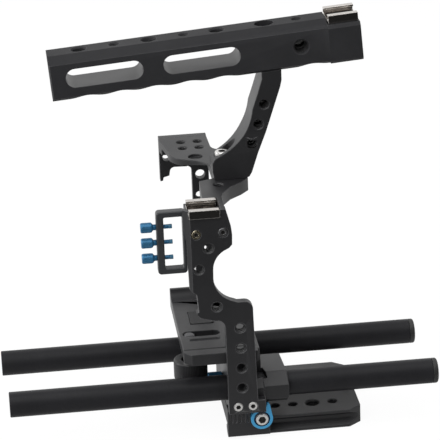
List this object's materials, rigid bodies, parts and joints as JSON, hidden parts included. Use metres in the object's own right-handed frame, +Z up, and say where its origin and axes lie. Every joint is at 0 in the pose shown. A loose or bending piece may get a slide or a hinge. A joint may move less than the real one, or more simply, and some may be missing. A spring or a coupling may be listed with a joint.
{
  "type": "camera cage",
  "caption": "Half-open camera cage with side plate, top bridge, slotted top handle, cold shoes, cable clamp, 15 mm rod clamp with two rods, and quick release tripod plate.",
  "frame": {"origin": "middle of the bounding box in X and Y, at the underside of the tripod plate", "axes": "-X is the rig's front, where the lens points; +Y is the camera's grip side; +Z is up, away from the tripod plate"},
  "size_m": [0.2568, 0.1364, 0.2461],
  "materials": {
    "black_anodised": "bead blasted and anodised black, satin",
    "black_rod": "anodised black, smooth satin",
    "grey_anodised": "anodised dark grey, satin",
    "blue_anodised": "anodised blue, satin",
    "bright_blue": "anodised bright blue, glossy",
    "steel": "plain zinc plated steel",
    "dark_steel": "blackened steel, satin",
    "brassy_steel": "yellow passivated steel",
    "nickel": "bright nickel plate",
    "brass": "plain machined brass",
    "black_plastic": "moulded black plastic",
    "tip_plastic": "blue nylon",
    "rubber": "matt rubber"
  },
  "bodies": {
    "cage": {"side_plate": "black_anodised", "side_plate_screws": "steel", "bridge": "black_anodised", "grip_leg": "black_anodised", "leg_foot": "black_anodised", "grip_leg_screws": "steel", "base_plate": "black_anodised", "base_screws": "steel", "anti_twist_pad": "rubber", "rod_clamp_body": "black_anodised", "side_shoe": "nickel", "side_shoe_screws": "steel", "cable_clamp_screw": "brassy_steel", "cable_clamp_nut": "steel", "arm_screw": "steel", "arm_washer": "steel"},
    "near_rod_body": {"near_rod": "black_rod", "near_rod_plugs": "black_plastic"},
    "far_rod_body": {"far_rod": "black_rod", "far_rod_plugs": "black_plastic"},
    "rod_lock": {"rod_lock_knob": "blue_anodised", "rod_lock_shaft": "steel"},
    "near_brake": {"near_brake_shoe": "brass"},
    "far_brake": {"far_brake_shoe": "brass"},
    "jaw": {"clamp_jaw": "black_anodised", "jaw_pins": "steel"},
    "lever": {"lock_lever": "bright_blue", "lever_screw": "steel"},
    "tripod_plate_body": {"tripod_plate": "black_anodised", "plate_stop_screws": "steel"},
    "collar": {"screw_collar": "steel"},
    "screw_lift": {"screw_washer": "steel"},
    "camera_screw_body": {"camera_screw": "dark_steel", "camera_knob": "black_anodised"},
    "cable_clamp": {"cable_clamp_frame": "grey_anodised"},
    "handle": {"handle_arm": "black_anodised", "handle_grip": "black_anodised", "handle_screw": "steel", "handle_shoe": "nickel", "handle_shoe_screws": "steel"},
    "tip_1": {"clamp_tip_1": "tip_plastic"},
    "thumb_1": {"thumb_screw_1": "blue_anodised"},
    "tip_2": {"clamp_tip_2": "tip_plastic"},
    "thumb_2": {"thumb_screw_2": "blue_anodised"},
    "tip_3": {"clamp_tip_3": "tip_plastic"},
    "thumb_3": {"thumb_screw_3": "blue_anodised"}
  },
  "joints": [
    {"name": "near_rod_slide", "type": "slide", "parent": "cage", "child": "near_rod_body", "axis": [1, 0, 0], "range_m": [-0.06, 0.06]},
    {"name": "far_rod_slide", "type": "slide", "parent": "cage", "child": "far_rod_body", "axis": [1, 0, 0], "range_m": [-0.06, 0.06]},
    {"name": "rod_lock_turn", "type": "hinge", "parent": "cage", "child": "rod_lock", "pos_m": [-0.0016, -0.0188, 0.021], "axis": [-1, 0, 0], "range_deg": [0, 95]},
    {"name": "near_brake_slide", "type": "slide", "parent": "cage", "child": "near_brake", "axis": [0, 1, 0], "range_m": [0, 0.0005]},
    {"name": "far_brake_slide", "type": "slide", "parent": "cage", "child": "far_brake", "axis": [0, -1, 0], "range_m": [0, 0.00054]},
    {"name": "jaw_slide", "type": "slide", "parent": "cage", "child": "jaw", "axis": [0, -1, 0], "range_m": [0, 0.0016]},
    {"name": "lever_turn", "type": "hinge", "parent": "jaw", "child": "lever", "pos_m": [0.0214, -0.0598, 0.0134], "axis": [0, 1, 0], "range_deg": [0, 105]},
    {"name": "tripod_plate_slide", "type": "slide", "parent": "cage", "child": "tripod_plate_body", "axis": [1, 0, 0], "range_m": [-0.045, 0.0105]},
    {"name": "camera_screw_slide", "type": "slide", "parent": "cage", "child": "collar", "axis": [1, 0, 0], "range_m": [0, 0.0095]},
    {"name": "camera_screw_rise", "type": "slide", "parent": "collar", "child": "screw_lift", "axis": [0, 0, 1], "range_m": [0, 0.0046]},
    {"name": "camera_screw_turn", "type": "hinge", "parent": "screw_lift", "child": "camera_screw_body", "pos_m": [-0.0168, -0.0308, 0.036], "axis": [0, 0, 1], "continuous": true},
    {"name": "cable_clamp_turn", "type": "hinge", "parent": "cage", "child": "cable_clamp", "pos_m": [-0.0134, -0.0588, 0.1346], "axis": [0, 1, 0], "range_deg": [-15, 1]},
    {"name": "clamp_tip_slide_1", "type": "slide", "parent": "cable_clamp", "child": "tip_1", "axis": [1, 0, 0], "range_m": [-0.0028, 0]},
    {"name": "thumb_screw_turn_1", "type": "hinge", "parent": "tip_1", "child": "thumb_1", "pos_m": [-0.0406, -0.0583, 0.138], "axis": [1, 0, 0], "range_deg": [-2330, 0]},
    {"name": "clamp_tip_slide_2", "type": "slide", "parent": "cable_clamp", "child": "tip_2", "axis": [1, 0, 0], "range_m": [-0.0028, 0]},
    {"name": "thumb_screw_turn_2", "type": "hinge", "parent": "tip_2", "child": "thumb_2", "pos_m": [-0.0406, -0.0583, 0.1286], "axis": [1, 0, 0], "range_deg": [-2330, 0]},
    {"name": "clamp_tip_slide_3", "type": "slide", "parent": "cable_clamp", "child": "tip_3", "axis": [1, 0, 0], "range_m": [-0.0028, 0]},
    {"name": "thumb_screw_turn_3", "type": "hinge", "parent": "tip_3", "child": "thumb_3", "pos_m": [-0.0406, -0.0583, 0.1192], "axis": [1, 0, 0], "range_deg": [-2330, 0]},
    {"name": "handle_slide", "type": "slide", "parent": "cage", "child": "handle", "axis": [1, 0, 0], "range_m": [-0.0035, 0]}
  ],
  "couplings": [
    {"joint": "rod_lock_turn", "follows": "near_brake_slide", "rad_per_m": 3141.6},
    {"joint": "far_brake_slide", "follows": "near_brake_slide", "ratio": 1},
    {"joint": "lever_turn", "follows": "jaw_slide", "rad_per_m": 1090.8},
    {"joint": "thumb_screw_turn_1", "follows": "clamp_tip_slide_1", "rad_per_m": 13963},
    {"joint": "thumb_screw_turn_2", "follows": "clamp_tip_slide_2", "rad_per_m": 13963},
    {"joint": "thumb_screw_turn_3", "follows": "clamp_tip_slide_3", "rad_per_m": 13963}
  ]
}
